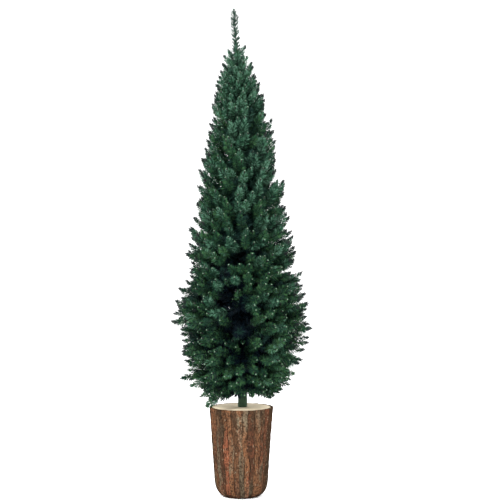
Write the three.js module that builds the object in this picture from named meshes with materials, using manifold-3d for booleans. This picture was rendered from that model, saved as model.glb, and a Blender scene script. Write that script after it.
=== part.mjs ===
// A slim artificial Christmas tree that stands in a bark-covered log.
// Millimetres, +Z up, +Y away from the viewer. The origin is the centre of the log's flat underside.
import * as THREE from "three";
import { mergeVertices } from "three/addons/utils/BufferGeometryUtils.js";
import Module from "manifold-3d";

const wasm = await Module();
wasm.setup();

const lerp = THREE.MathUtils.lerp;
const radians = THREE.MathUtils.degToRad;

// Whole tree.
const TREE_HEIGHT = 1800;
const GAP = 0.3; // between pieces that touch
const MERGE_DISTANCE = 1e-4; // corners of one solid that are closer than this are one corner

// Log that the tree stands in: bark round a filled body, with a sawn face let in on top.
const LOG_HEIGHT = 326;
const LOG_TOP_RADIUS = 115;
const LOG_SIDE_FOOT_RADIUS = 96; // where the straight side ends
const LOG_FLAT_RADIUS = 67; // the flat underside
const LOG_ROUNDING_HEIGHT = 42;
const LOG_SIDES = 42;
const LOG_ROUNDING_RINGS = 3;
const BARK_THICKNESS = 7;
const BARK_RELIEF = 3.6; // depth of the furrows between the bark's plates
const BARK_PLATES = 14; // round the log
const BARK_WANDER = 1.2; // how unevenly wide the plates are
const FACE_THICKNESS = 14;
const SOCKET_DEPTH = 180; // of the pole, below the sawn face

// Steel pole: a lower tube, a swaged joint, a thinner upper tube that leans a little.
const POLE_RADIUS = 13;
const POLE_UPPER_RADIUS = 9;
const POLE_TIP_RADIUS = 4;
const POLE_SIDES = 12;
const POLE_JOINT_Z = 960;
const POLE_JOINT_LENGTH = 12;
const POLE_NECK_Z = 1534; // where the upper tube starts to narrow to its tip
const POLE_TOP_Z = 1622;
const LEAN_START_Z = 1320;
const LEAN_SLOPE = -0.058; // sideways move of the upper tube for each millimetre of height

// Crown: widest at CROWN_WIDEST_Z, drawn in below that and tapering to the tip above it.
const CROWN_BOTTOM_Z = 350;
const CROWN_WIDEST_Z = 655;
const CROWN_TOP_Z = 1664;
const CROWN_VANISHING_Z = 1730; // where the taper would end in a point
const CROWN_REACH = 232;
const CROWN_BULGE = 26; // the longest branches stand out this much more
const CROWN_BULGE_HEIGHT = 70;
const CROWN_TAPER_POWER = 0.64;
const SKIRT_DRAW_IN = 0.4;
const SKIRT_POWER = 2.6;
const LOWEST_RISE = -14; // degrees above the horizon of a branch at the crown's bottom
const HIGHEST_RISE = 64; // and at its top

// The crown is a spiral of branches: columns that wind round the pole, each one with its branches set
// higher or lower than those beside it.
const COLUMNS = 5;
const HALF_COLUMN = Math.PI / COLUMNS;
const COLUMN_TWIST = radians(0.085); // for each millimetre of height
const COLUMN_STEP = 0.4; // rise of each column's branches above the last column's, in branches
const BRANCH_STEPS = 10.4; // in a column
const LOWEST_BRANCH = 0.7; // height of the shortest lowest branch, in the same steps
const STEP_GROWTH = 0.16; // how much the steps grow from the middle to the top, and shrink to the bottom
const SEED = 43;
const COLUMN_SEED_STEP = 97;
const BRANCH_SEED_STEP = 13;

// One branch: a stem from the pole, and a core round its outer part.
const STEM_RADIUS = 3.2;
const STEM_SIDES = 3;
const CORE_FILL = 0.94; // the most of the branch's space that the core takes up
const CORE_STEP = 0.02; // by which it is thinned where it would leave that space
const CORE_SIDE_HEIGHT = 0.4; // of its sides, as a share of its height at the middle
const CORE_ROUNDING_START = 0.7; // where it starts to narrow to its outer end, as a share of its length
const CORE_END_FILL = 0.72; // width of that end, as a share of the core's
const CORE_INNER_SHARE = 0.17; // where it starts, as a share of the crown's reach
const CORE_POLE_GAP = 2;

// Sprays of needles that stand out of the core.
const SPRAY_RADIUS_LOW = 33; // at the crown's bottom
const SPRAY_RADIUS_HIGH = 21; // and at its top
const ROW_SPACING = 1.95; // in spray radii
const TIP_SPACING = 2.3; // in spray radii
const SPRAY_NARROWING = 0.94; // at each try to keep a spray to the branch's space
const NARROWEST_SPRAY = 0.5; // the least that it is narrowed to, as a share of its radius
const SPRAY_SHOWN = 62; // length of a spray outside the core
const SPRAY_SUNK = 16; // and inside it
const SPRAY_FAN_ACROSS = 0.7; // how much closer together the sprays' roots are than their tips
const SPRAY_FAN_UP = 0.6;
const SPRAY_SIDES = 3;
const SPRAY_REACH_SPREAD = 0.075; // by which tips pass the crown's outline, or stop short of it
const SPRAY_PLACE_SPREAD = 0.08; // by which they stray across a branch (of half its width) and up it
const ROW_WIDTH = 0.94; // of a row of tips, as a share of the branch's width
const ROW_STAGGER = 0.15; // sideways shift of alternate rows, one to each side
const SPACE_MARGIN = 0.8; // kept free along the edges of a branch's space

// The whorls of needles along a spray: where the needles leave its middle and where they end, and how wide.
const WHORLS = [
  { root: 0.26, end: 0.6, core: 0.42, reach: 0.88 },
  { root: 0.52, end: 0.84, core: 0.4, reach: 0.82 },
];

// Leader: the upright spray at the very top.
const LEADER_RADIUS = 17;
const LEADER_SIDES = 4;
const LEADER_WHORLS = 8;
const LEADER_WHORLS_START = 0.02; // height of the lowest whorl's root, as a share of the leader's
const LEADER_WHORLS_LENGTH = 0.9; // from there to the last whorl's root and one step on
const LEADER_NEEDLE_STEPS = 1.6; // length of a whorl, in steps from one whorl to the next
const LEADER_CORE = 0.16; // width at a whorl's root, as a share of the leader's
const LEADER_TIP_REACH = 0.5; // width of the last whorls
const LEADER_TIP_WHORLS = 2; // over which the leader narrows to that

const BARK = new THREE.MeshStandardMaterial({ color: 0x73553f, roughness: 0.95, metalness: 0 });
const SAWN_WOOD = new THREE.MeshStandardMaterial({ color: 0xd9cba8, roughness: 0.8, metalness: 0 });
const POLE_GREEN = new THREE.MeshStandardMaterial({ color: 0x283b2b, roughness: 0.7, metalness: 0.1 });
const NEEDLE_GREEN = new THREE.MeshStandardMaterial({ color: 0x224b36, roughness: 0.6, metalness: 0 });

// Repeatable random numbers from 0 to 1.
function seededRandom(seed) {
  let state = seed >>> 0;
  return () => {
    state = (Math.imul(state, 1664525) + 1013904223) >>> 0;
    return state / 4294967296;
  };
}

// A closed mesh through rings of equally many points, with a flat end or an apex at each end.
function loft(rings, { foot = null, apex = null } = {}) {
  const count = rings[0].length;
  const last = (rings.length - 1) * count;
  const points = rings.flat();
  const faces = [];
  for (let start = 0; start < last; start += count) {
    for (let i = 0; i < count; i++) {
      const a = start + i;
      const b = start + ((i + 1) % count);
      faces.push([a, b, a + count], [b, b + count, a + count]);
    }
  }
  const close = (start, point, turned) => {
    const around = Array.from({ length: count }, (_, i) => start + i);
    if (turned) around.reverse();
    if (point) {
      around.forEach((a, i) => faces.push([a, around[(i + 1) % count], points.length]));
      points.push(point);
    } else {
      for (let i = 1; i + 1 < count; i++) faces.push([around[0], around[i], around[i + 1]]);
    }
  };
  close(0, foot, true);
  close(last, apex, false);
  return meshGeometry(points, faces);
}

function meshGeometry(points, faces) {
  const values = points.flatMap((p) => [p.x, p.y, p.z]);
  const geometry = new THREE.BufferGeometry();
  geometry.setAttribute("position", new THREE.Float32BufferAttribute(values, 3));
  geometry.setIndex(faces.flat());
  return geometry;
}

function toSolid(geometry) {
  const bare = geometry.clone();
  bare.deleteAttribute("normal");
  bare.deleteAttribute("uv");
  const merged = mergeVertices(bare, MERGE_DISTANCE);
  return new wasm.Manifold(
    new wasm.Mesh({
      numProp: 3,
      vertProperties: new Float32Array(merged.attributes.position.array),
      triVerts: new Uint32Array(merged.index.array),
    }),
  );
}

function toGeometry(solid) {
  const mesh = solid.getMesh();
  const geometry = new THREE.BufferGeometry();
  geometry.setAttribute("position", new THREE.BufferAttribute(mesh.vertProperties.slice(), 3));
  geometry.setIndex(new THREE.BufferAttribute(mesh.triVerts.slice(), 1));
  geometry.computeVertexNormals();
  return geometry;
}

// Joins solids into one, fills any hollow that this seals, and drops loose scraps.
function fuse(solids) {
  const joined = solids.reduce((all, next) => all.add(next));
  const largest = joined
    .decompose()
    .filter((body) => body.volume() > 0)
    .reduce((a, b) => (a.volume() > b.volume() ? a : b));
  return largest;
}

// Sideways offset of the leaning upper tube, and of the crown that it carries.
function leanAt(z) {
  return Math.max(0, z - LEAN_START_Z) * LEAN_SLOPE;
}

function leaned(geometry) {
  const position = geometry.getAttribute("position");
  for (let i = 0; i < position.count; i++) {
    position.setX(i, position.getX(i) + leanAt(position.getZ(i)));
  }
  return geometry;
}

// How far the crown's outline stands from the pole at a height.
function crownReach(z) {
  const above = Math.max(0, (z - CROWN_WIDEST_Z) / (CROWN_VANISHING_Z - CROWN_WIDEST_Z));
  const below = Math.max(0, (CROWN_WIDEST_Z - z) / (CROWN_WIDEST_Z - CROWN_BOTTOM_Z));
  const taper = Math.pow(1 - above, CROWN_TAPER_POWER) - SKIRT_DRAW_IN * Math.pow(below, SKIRT_POWER);
  const bulge = Math.exp(-Math.pow((z - CROWN_WIDEST_Z) / CROWN_BULGE_HEIGHT, 2));
  return CROWN_REACH * taper + CROWN_BULGE * bulge;
}

// Slope of the branches whose tips end at a height.
function crownSlope(z) {
  const share = (z - CROWN_BOTTOM_Z) / (CROWN_TOP_Z - CROWN_BOTTOM_Z);
  return Math.tan(radians(lerp(LOWEST_RISE, HIGHEST_RISE, share)));
}

function sprayRadius(z) {
  return lerp(SPRAY_RADIUS_LOW, SPRAY_RADIUS_HIGH, (z - CROWN_BOTTOM_Z) / (CROWN_TOP_Z - CROWN_BOTTOM_Z));
}

function poleRadius(z) {
  const joint = THREE.MathUtils.clamp((z - POLE_JOINT_Z) / POLE_JOINT_LENGTH, 0, 1);
  const neck = THREE.MathUtils.clamp((z - POLE_NECK_Z) / (POLE_TOP_Z - POLE_NECK_Z), 0, 1);
  const upper = lerp(POLE_RADIUS, POLE_UPPER_RADIUS, joint);
  return upper - (POLE_UPPER_RADIUS - POLE_TIP_RADIUS) * neck;
}

// Depth of the bark's surface below its highest plates, round the log.
function barkDepth(angle) {
  const across = BARK_PLATES * angle + BARK_WANDER * Math.sin(2 * angle);
  return BARK_RELIEF * Math.pow(0.5 + 0.5 * Math.cos(across), 2);
}

function circle(radius, z, sides, depth = () => 0) {
  return Array.from({ length: sides }, (_, i) => {
    const angle = (2 * Math.PI * i) / sides;
    const r = radius - depth(angle);
    return new THREE.Vector3(r * Math.cos(angle), r * Math.sin(angle), z);
  });
}

function logBark() {
  const rings = [];
  for (let i = 0; i <= LOG_ROUNDING_RINGS; i++) {
    const turn = (Math.PI / 2) * (i / LOG_ROUNDING_RINGS);
    const radius = lerp(LOG_FLAT_RADIUS, LOG_SIDE_FOOT_RADIUS, Math.sin(turn));
    const z = LOG_ROUNDING_HEIGHT * (1 - Math.cos(turn));
    const share = i / LOG_ROUNDING_RINGS;
    rings.push(circle(radius, z, LOG_SIDES, (angle) => barkDepth(angle) * share));
  }
  rings.push(circle(LOG_TOP_RADIUS, LOG_HEIGHT, LOG_SIDES, barkDepth));
  const recess = LOG_TOP_RADIUS - BARK_THICKNESS;
  const socket = POLE_RADIUS + GAP;
  const faceFloor = LOG_HEIGHT - FACE_THICKNESS - GAP;
  rings.push(circle(recess, LOG_HEIGHT, LOG_SIDES));
  rings.push(circle(recess, faceFloor, LOG_SIDES));
  rings.push(circle(socket, faceFloor, LOG_SIDES));
  rings.push(circle(socket, LOG_HEIGHT - SOCKET_DEPTH - GAP, LOG_SIDES));
  return loft(rings);
}

function logFace() {
  const outline = new THREE.Shape(circle(LOG_TOP_RADIUS - BARK_THICKNESS - GAP, 0, LOG_SIDES));
  outline.holes.push(new THREE.Path(circle(POLE_RADIUS + GAP, 0, POLE_SIDES)));
  const geometry = new THREE.ExtrudeGeometry(outline, { depth: FACE_THICKNESS, bevelEnabled: false });
  return geometry.translate(0, 0, LOG_HEIGHT - FACE_THICKNESS);
}

function pole() {
  const heights = [
    LOG_HEIGHT - SOCKET_DEPTH,
    POLE_JOINT_Z,
    POLE_JOINT_Z + POLE_JOINT_LENGTH,
    LEAN_START_Z,
    POLE_NECK_Z,
    POLE_TOP_Z,
  ];
  return leaned(loft(heights.map((z) => circle(poleRadius(z), z, POLE_SIDES))));
}

// Two directions square to an axis, turned by an angle round it.
function squareTo(axis, spin) {
  const helper = Math.abs(axis.z) > 0.9 ? new THREE.Vector3(1, 0, 0) : new THREE.Vector3(0, 0, 1);
  const side = new THREE.Vector3().crossVectors(helper, axis).normalize();
  const up = new THREE.Vector3().crossVectors(axis, side);
  return { side: side.clone().applyAxisAngle(axis, spin), up: up.applyAxisAngle(axis, spin) };
}

function ringRound(centre, frame, radius, sides, turn = 0) {
  return Array.from({ length: sides }, (_, i) => {
    const angle = (2 * Math.PI * i) / sides + turn;
    return centre
      .clone()
      .addScaledVector(frame.side, radius * Math.cos(angle))
      .addScaledVector(frame.up, radius * Math.sin(angle));
  });
}

// The rings of a spray: whorls that open towards the tip, each with its needles between those of the last.
function sprayRings(base, tip, radius, spin, whorls, sides) {
  const frame = squareTo(tip.clone().sub(base).normalize(), spin);
  const at = (share) => base.clone().lerp(tip, share);
  return whorls.flatMap((whorl, k) => {
    const turn = (Math.PI / sides) * k;
    return [
      ringRound(at(whorl.root), frame, radius * whorl.core, sides, turn),
      ringRound(at(whorl.end), frame, radius * whorl.reach, sides, turn),
    ];
  });
}

// The height on the crown's outline after a number of branch steps.
function stepHeight(steps) {
  const share = steps / BRANCH_STEPS;
  return lerp(CROWN_BOTTOM_Z, CROWN_TOP_Z, share * (1 - STEP_GROWTH * (1 - share)));
}

// The spaces of one column's branches, from the bottom up.
function columnSpaces(column) {
  const steps = [0];
  const shift = (column * COLUMN_STEP) % 1;
  for (let step = LOWEST_BRANCH + shift; step < BRANCH_STEPS - LOWEST_BRANCH; step += 1) steps.push(step);
  steps.push(BRANCH_STEPS);
  const edges = steps.map(stepHeight).map((z) => ({ z, reach: crownReach(z), slope: crownSlope(z) }));
  return edges.slice(1).map((high, k) => ({ column, low: edges[k], high }));
}

function edgeHeight(edge, r) {
  return edge.z - (edge.reach - r) * edge.slope;
}

function columnAngle(column, z) {
  return (2 * Math.PI * column) / COLUMNS + COLUMN_TWIST * z;
}

// A point of a space, from its place across the column (-1 to 1), up the branch (0 to 1) and out from
// the pole.
function pointIn(space, across, up, r) {
  const z = lerp(edgeHeight(space.low, r), edgeHeight(space.high, r), up);
  const angle = columnAngle(space.column, z) + across * HALF_COLUMN;
  return new THREE.Vector3(r * Math.cos(angle), r * Math.sin(angle), z);
}

function isInside(space, p) {
  const r = Math.hypot(p.x, p.y);
  const turn = Math.atan2(p.y, p.x) - columnAngle(space.column, p.z);
  const fromMiddle = Math.abs(turn - 2 * Math.PI * Math.round(turn / (2 * Math.PI)));
  return (
    r * Math.sin(HALF_COLUMN - fromMiddle) > SPACE_MARGIN &&
    p.z > edgeHeight(space.low, r) + SPACE_MARGIN &&
    p.z < edgeHeight(space.high, r) - SPACE_MARGIN &&
    r > poleRadius(p.z) + GAP
  );
}

// The places of a branch's tips in its space, each row set half a step past the one below.
function tipPlaces(rows, tips, random) {
  const stray = () => (2 * random() - 1) * SPRAY_PLACE_SPREAD;
  const places = [];
  for (let row = 0; row < rows; row++) {
    const shift = (row % 2 ? ROW_STAGGER : -ROW_STAGGER) / tips;
    for (let tip = 0; tip < tips; tip++) {
      places.push({
        across: ((2 * tip + 1) / tips - 1) * ROW_WIDTH + shift + stray(),
        up: (row + 0.5) / rows + stray(),
        stretch: 1 + (2 * random() - 1) * SPRAY_REACH_SPREAD,
        spin: random() * Math.PI,
      });
    }
  }
  return places;
}

function branchMass(space, random) {
  const reach = (space.low.reach + space.high.reach) / 2;
  const rise = Math.atan((space.low.slope + space.high.slope) / 2);
  const poleSide = poleRadius(pointIn(space, 0, 0.5, 0).z);
  const coreStart = Math.max(reach * CORE_INNER_SHARE, (poleSide + CORE_POLE_GAP) / Math.cos(HALF_COLUMN));
  const coreEnd = reach - SPRAY_SHOWN * Math.cos(rise);
  const solids = [stem(space, rise, (coreStart + coreEnd) / 2), core(space, coreStart, coreEnd)];
  const radius = sprayRadius((space.low.z + space.high.z) / 2);
  const rows = Math.round(((space.high.z - space.low.z) * Math.cos(rise)) / (radius * ROW_SPACING));
  const tips = Math.round((2 * HALF_COLUMN * reach) / (radius * TIP_SPACING));
  for (const place of tipPlaces(Math.max(rows, 1), Math.max(tips, 2), random)) {
    const grown = spray(space, coreEnd - SPRAY_SUNK * Math.cos(rise), place);
    if (grown) solids.push(grown);
  }
  return leaned(toGeometry(fuse(solids.map(toSolid))));
}

// A stem that is cut upright beside the pole and ends inside the core.
function stem(space, rise, end) {
  const halfHeight = STEM_RADIUS / Math.cos(rise);
  const start = poleRadius(pointIn(space, 0, 0.5, POLE_RADIUS).z - halfHeight) + GAP;
  const centres = [start, end].map((r) => pointIn(space, 0, 0.5, r));
  const across = new THREE.Vector3(-centres[0].y, centres[0].x, 0).normalize();
  const ring = (centre) =>
    Array.from({ length: STEM_SIDES }, (_, i) => {
      const angle = (2 * Math.PI * i) / STEM_SIDES;
      return centre
        .clone()
        .addScaledVector(across, STEM_RADIUS * Math.cos(angle))
        .add(new THREE.Vector3(0, 0, halfHeight * Math.sin(angle)));
    });
  return loft(centres.map(ring));
}

// The dense inside of a branch, thinned until its faces keep to the branch's space.
function core(space, start, end) {
  const corners = [-1, 0, 1, 1, 0, -1].map((across, k) => {
    const height = across ? CORE_SIDE_HEIGHT : 1;
    return { across, up: (k < 3 ? -height : height) / 2 };
  });
  const section = (r, fill) =>
    corners.map(({ across, up }) => pointIn(space, across * fill, 0.5 + up * fill, r));
  for (let fill = CORE_FILL; fill > 0; fill -= CORE_STEP) {
    const rings = [
      section(start, fill),
      section(lerp(start, end, CORE_ROUNDING_START), fill),
      section(end, fill * CORE_END_FILL),
    ];
    const middleAfter = (ring, i) => ring[i].clone().lerp(ring[(i + 1) % ring.length], 0.5);
    const middles = rings.flatMap((ring) => ring.map((_, i) => middleAfter(ring, i)));
    if ([...rings.flat(), ...middles].every((p) => isInside(space, p))) return loft(rings);
  }
  throw new Error("a branch has no room for its core");
}

// One spray, narrowed until it keeps to the branch's space, or nothing if it would be too thin.
function spray(space, root, { across, up, stretch, spin }) {
  const reach = lerp(space.low.reach, space.high.reach, up) * stretch;
  const base = pointIn(space, across * SPRAY_FAN_ACROSS, lerp(0.5, up, SPRAY_FAN_UP), root);
  const tip = pointIn(space, across, up, reach);
  const widest = sprayRadius(tip.z);
  for (let radius = widest; radius > widest * NARROWEST_SPRAY; radius *= SPRAY_NARROWING) {
    const rings = sprayRings(base, tip, radius, spin, WHORLS, SPRAY_SIDES);
    if ([...rings.flat(), tip].every((p) => isInside(space, p))) {
      return loft(rings, { foot: base, apex: tip });
    }
  }
  return null;
}

function leader() {
  const base = new THREE.Vector3(0, 0, POLE_TOP_Z + GAP);
  const tip = new THREE.Vector3(0, 0, TREE_HEIGHT);
  const step = LEADER_WHORLS_LENGTH / LEADER_WHORLS;
  const whorls = Array.from({ length: LEADER_WHORLS }, (_, k) => {
    const root = LEADER_WHORLS_START + step * k;
    const whorlsLeft = LEADER_WHORLS - 1 - k;
    const narrowed = Math.max(0, 1 - whorlsLeft / LEADER_TIP_WHORLS);
    return {
      root,
      end: root + step * LEADER_NEEDLE_STEPS,
      core: LEADER_CORE,
      reach: lerp(1, LEADER_TIP_REACH, narrowed),
    };
  });
  const foot = ringRound(base, squareTo(new THREE.Vector3(0, 0, 1), 0), POLE_TIP_RADIUS, LEADER_SIDES);
  const rings = sprayRings(base, tip, LEADER_RADIUS, 0, whorls, LEADER_SIDES);
  return leaned(loft([foot, ...rings], { apex: tip }));
}

function named(name, geometry, material) {
  const mesh = new THREE.Mesh(geometry, material);
  mesh.name = name;
  return mesh;
}

const tree = new THREE.Group();
tree.name = "christmas_tree";
tree.add(named("log_bark", logBark(), BARK));
tree.add(named("log_face", logFace(), SAWN_WOOD));
tree.add(named("pole", pole(), POLE_GREEN));
tree.add(named("leader", leader(), NEEDLE_GREEN));
for (let column = 0; column < COLUMNS; column++) {
  columnSpaces(column).forEach((space, k) => {
    const name = `branch_${column + 1}_${String(k + 1).padStart(2, "0")}`;
    const random = seededRandom(SEED + COLUMN_SEED_STEP * column + BRANCH_SEED_STEP * k);
    tree.add(named(name, branchMass(space, random), NEEDLE_GREEN));
  });
}

export default tree;
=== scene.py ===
"""A slim artificial Christmas tree that stands in a bark-covered log.

The crown follows the same seeded rule as its solids, with the same names, and carries it on to finer twigs.
Each twig is a wire with thin needles all round. Sizes are in millimetres and become metres in the meshes. The
lights, the camera and the patterns of the materials are in metres.
"""

import math

import bpy
import numpy as np
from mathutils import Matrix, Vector


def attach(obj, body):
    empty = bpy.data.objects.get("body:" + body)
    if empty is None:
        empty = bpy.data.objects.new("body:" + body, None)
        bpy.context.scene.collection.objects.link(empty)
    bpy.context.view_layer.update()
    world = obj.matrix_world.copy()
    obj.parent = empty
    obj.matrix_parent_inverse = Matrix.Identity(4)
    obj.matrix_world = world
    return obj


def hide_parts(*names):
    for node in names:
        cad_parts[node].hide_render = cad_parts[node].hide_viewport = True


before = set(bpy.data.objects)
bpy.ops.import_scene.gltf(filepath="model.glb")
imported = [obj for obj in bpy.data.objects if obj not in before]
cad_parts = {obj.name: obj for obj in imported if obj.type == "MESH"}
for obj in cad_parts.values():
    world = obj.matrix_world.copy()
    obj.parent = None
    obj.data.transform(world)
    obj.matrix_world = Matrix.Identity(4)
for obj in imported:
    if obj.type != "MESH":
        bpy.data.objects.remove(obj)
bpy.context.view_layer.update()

MM = 0.001
GOLDEN_ANGLE = math.pi * (3 - math.sqrt(5))
THIRDS = (0, 1 / 3, 2 / 3, 1)  # where the four points of a straight curve lie

# Log.
LOG_HEIGHT = 326
LOG_TOP_RADIUS = 115
LOG_SIDE_FOOT_RADIUS = 96
LOG_FLAT_RADIUS = 66
LOG_ROUNDING_HEIGHT = 58
LOG_ROUNDING_POWER = 1.6
BARK_THICKNESS = 7
FACE_THICKNESS = 14
SOCKET_DEPTH = 180
FIT_GAP = 0.3  # left between the bark, the sawn face and the pole

# Relief of the bark.
BARK_COLUMNS = 520
BARK_ROWS = 140
BARK_FOOT_ROWS = 14  # of them on the rounded foot
BARK_SEED = 5
BARK_EDGE_SEED = 8
PLATES = 34  # round the log
RELIEF_NOISE = {  # each in layers: strength, and cells round and upwards or outwards
    "drift": ((0.008, 9, 4), (0.004, 26, 9)),
    "wander": ((0.4, 14, 5),),
    "furrows": ((0.6, PLATES, 7),),
    "crack_lines": ((1, 60, 6),),
    "cracks": ((1, 16, 9),),
    "plates": ((1, PLATES, 3),),
    "flakes": ((1, 70, 16), (0.6, 130, 40)),
    "fibres": ((1, 250, 40), (0.7, 500, 110)),
    "rust_plates": ((0.5, PLATES, 2),),
    "rust_streaks": ((0.3, 96, 9),),
    "rust_areas": ((0.12, 12, 2),),
    "grey_plates": ((0.6, PLATES, 2),),
    "grey_streaks": ((0.25, 110, 9),),
    "shade_plates": ((0.7, PLATES, 1),),
    "shade_spots": ((0.2, 60, 14),),
    # strength of the painted shade along the log's side strips
    "side_shade_noise": ((0.6, 50, 8),),
    "foot_edge": ((9, 34, 1), (4, 90, 1)),
    "top_edge": ((0.9, 60, 1),),
    "face_marks": ((0.12, 60, 30),),
    "film": ((0.25, 18, 160),),
}
FURROW_EDGE = (0.26, 0.02)  # from a plate's edge: where a furrow begins and is full
FURROW_STRENGTH = 0.6
FURROW_LEAST = 0.05
CRACK_EDGE = (0.14, 0.02)
CRACK_STRENGTH = 0.35
FLAKE_SHARPNESS = 5
BARK_DEPTHS = {"furrows": 4.2, "cracks": 2.0, "plates": 0.8, "flakes": 0.6, "fibres": 0.45}
BARK_MIDDLE_DEPTH = 1.4
BARK_STANDS_OUT = 3.4  # past the log's outline
RELIEF_BEGINS = 6  # height over which it comes in
RAGGED_HEIGHT = 6  # of the bark's lower edge, under which the log is bare
BARE_EDGE = 4
TOP_EDGE_HEIGHT = 12  # over which the ragged top edge comes in
RIM_INSET = 1.2
RIM_RISE = 0.5
RECESS_EDGE = (0.6, 0.3)  # distances from the recess: the rim's least, and its edge's
RECESS_RAGGED = 0.4

# Colours of the bark.
BARK_BROWN = (0.169, 0.076, 0.037)
BARK_GREY = (0.160, 0.125, 0.080)
BARK_RUST = (0.198, 0.066, 0.034)
BARK_DARK = (0.026, 0.0165, 0.0105)
BARK_FLECK = (0.24, 0.175, 0.115)
# painted shade in the bark's furrows and cracks, also laid on the log's bare foot
CREVICE_SHADE_COLOUR = (0.012, 0.008, 0.006)
BARK_SHARES = {  # at the foot, and by how much more at the top
    "rust": (0.457, 0.14),
    "grey": (0.597, -0.14),
    "shade": (0.12, 0),
}
SIDE_SHADE_STRIPS = ((-4, 20), (184, 15))  # painted shade down the log's left and right sides as seen from the front: azimuth and half width of each strip
# how dark the painted shade of the side strips is
SIDE_SHADE_STRENGTH = 1.6
# how much painted shade the furrows and the cracks take
FURROW_SHADE = 0.85
CRACK_SHADE = 0.5
BARE_DARK = 0.7
INSIDE_SHARE = 0.3  # of each of its colours inside the log
BARK_BLENDS = {  # colour, weight of the streaks, and where each comes in
    "grey": (BARK_GREY, 1.1, 0.9, 1.4),
    "rust": (BARK_RUST, 1.2, 0.95, 1.6),
}
BARK_SHADE_STRENGTH = 0.92
BARK_STAINS = {  # where each comes in, strength and colour
    "bark_fibres": (0.42, 0.60, 0.55, BARK_DARK),
    "bark_patches": (0.5, 0.65, 0.4, BARK_DARK),
    "bark_grain": (0.48, 0.58, 0.85, BARK_DARK),
    "bark_flecks": (0.60, 0.72, 0.7, BARK_FLECK),
}

# Sawn face.
FACE_SIDES = 180
FACE_RINGS = 36
FACE_SEED = 3
FACE_BEVEL = (0.8, 1.2)  # inwards and down
FACE_RIM = 3
FACE_RIM_DROP = 0.25
FACE_HOLE_EDGE = 1
RIM_SHADE = (1.5, 3)  # painted shade along the face's rim beside the bark: its width, and that of its edge
SAWN_LIGHT = (0.81, 0.70, 0.50)
SAWN_DARK = (0.75, 0.64, 0.45)
SAWN_RING = (0.12, (0.66, 0.50, 0.32))  # strength and colour
# painted shade along the face's rim beside the bark
SAWN_RIM_SHADE = (0.3, (0.5, 0.36, 0.22))
SAWN_BLOTCHES = (0.35, 0.7)
SAWN_RINGS = {"Scale": 38, "Distortion": 1.4, "Detail": 2, "Detail Scale": 3}

# Pole and the film wound round it.
POLE_RADIUS = 13
POLE_UPPER_RADIUS = 9
POLE_TIP_RADIUS = 4
POLE_JOINT_Z = 960
POLE_JOINT_LENGTH = 12
POLE_NECK_Z = 1534
POLE_TOP_Z = 1622
POLE_SIDES = 36
POLE_RINGS = (3, 12)  # distances between them, below and above this height
POLE_RINGS_Z = 440
POLE_BELOW = 0.35  # by which the bare pole is thinner than its solid
POLE_BURIED_RING = 20
LEAN_START_Z = 1320
LEAN_SLOPE = -0.058
FILM_SEED = 11
FILM_FOOT = (0.4, 0.8)  # over the log: the bare pole's end and the film's
FILM_THICKNESS = 1.3
FILM_PITCH = 30
FILM_RIDGE = 0.7
FILM_RIDGE_SHARE = 0.8  # of a turn, over which it rises
FILM_GATHERED = 3  # by which the film is thicker over the log
FILM_GATHERED_CHANGE = (400, 60)
FILM_ASIDE = 4.5
FILM_DARK = (0.004, 0.016, 0.007)
FILM_LIGHT = (0.011, 0.034, 0.016)
# painted light reflected from the sawn face onto the pole's foot
POLE_FOOT_BOUNCE_COLOUR = (0.034, 0.072, 0.038)
POLE_FOOT_LIT = (16, 34)  # painted light reflected from the sawn face, over the log: up to this height, then fading over this one

# Crown: the rule of the solids.
TREE_HEIGHT = 1800
CROWN_BOTTOM_Z = 350
CROWN_WIDEST_Z = 655
CROWN_TOP_Z = 1664
CROWN_VANISHING_Z = 1730
CROWN_REACH = 232
CROWN_BULGE = 26
CROWN_BULGE_HEIGHT = 70
CROWN_TAPER_POWER = 0.64
SKIRT_DRAW_IN = 0.4
SKIRT_POWER = 2.6
LOWEST_RISE = -14
HIGHEST_RISE = 64
COLUMNS = 5
HALF_COLUMN = math.pi / COLUMNS
COLUMN_TWIST = math.radians(0.085)
COLUMN_STEP = 0.4
BRANCH_STEPS = 10.4
LOWEST_BRANCH = 0.7
STEP_GROWTH = 0.16
SEED = 43
COLUMN_SEED_STEP = 97
BRANCH_SEED_STEP = 13
SPRAY_SHOWN = 62
SPRAY_REACH_SPREAD = 0.075
ROW_WIDTH = 0.94

# Finer twigs: the solids' rule at a closer spacing.
TWIG_SPACING = (39, 35)  # at the crown's bottom and top
TWIG_STAGGER = 0.5
PLACE_SPREAD = 0.14
SET_BACK_SHARE = 0.35  # of the twigs end a little further in
SET_BACK = (0.8, 0.94)
BOUGH_SUNK = 1  # by which a bough begins inside the pole
FORK_SHARE = (0.3, 0.8)  # of a bough's length, where the twigs leave it
FORK_SHARE_TOP = (0.0, 0.3)  # and the same at the crown's top
FORK_CHANGE = (0.45, 0.35)  # share of the crown's height where that changes, and over which
FORK_ASIDE = 0.6  # by which it is less at a column's side
LIFT = (2, 28)  # by which twigs turn up at their ends, low down and higher up
LIFT_CHANGE = (0.12, 0.38)
STEEPEST = 57
TURN_SPREAD = 10
STRAIGHTNESS = 0.15  # share of the line from its fork in the direction of a twig's end
TWIG_HANDLES = (0.2, 0.5)  # of its length, towards its bough's direction and its end's
INNER_TWIGS = 20  # dark ones in each branch, behind the outer ones
INNER_TWIGS_TOP = 5  # and in each branch above INNER_TOP_Z
INNER_TOP_Z = 1370
INNER_WIDTH = 1.05
INNER_REACH = (0.25, 0.86)
INNER_FORK_SHARE = (0.05, 0.5)
TOP_TWIGS = 86  # the highest ones, which leave the pole itself
TOP_LOW_Z = 1430  # where they take over from the branches' twigs
TOP_HIGH_Z = 1674
TOP_SHOULDER = 34  # by which the crown widens at once
TOP_SHOULDER_DEPTH = 9
TOP_WIDENING = 0.27
TOP_RISE = (47, 60)  # of these twigs, from the lowest to the highest
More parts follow.
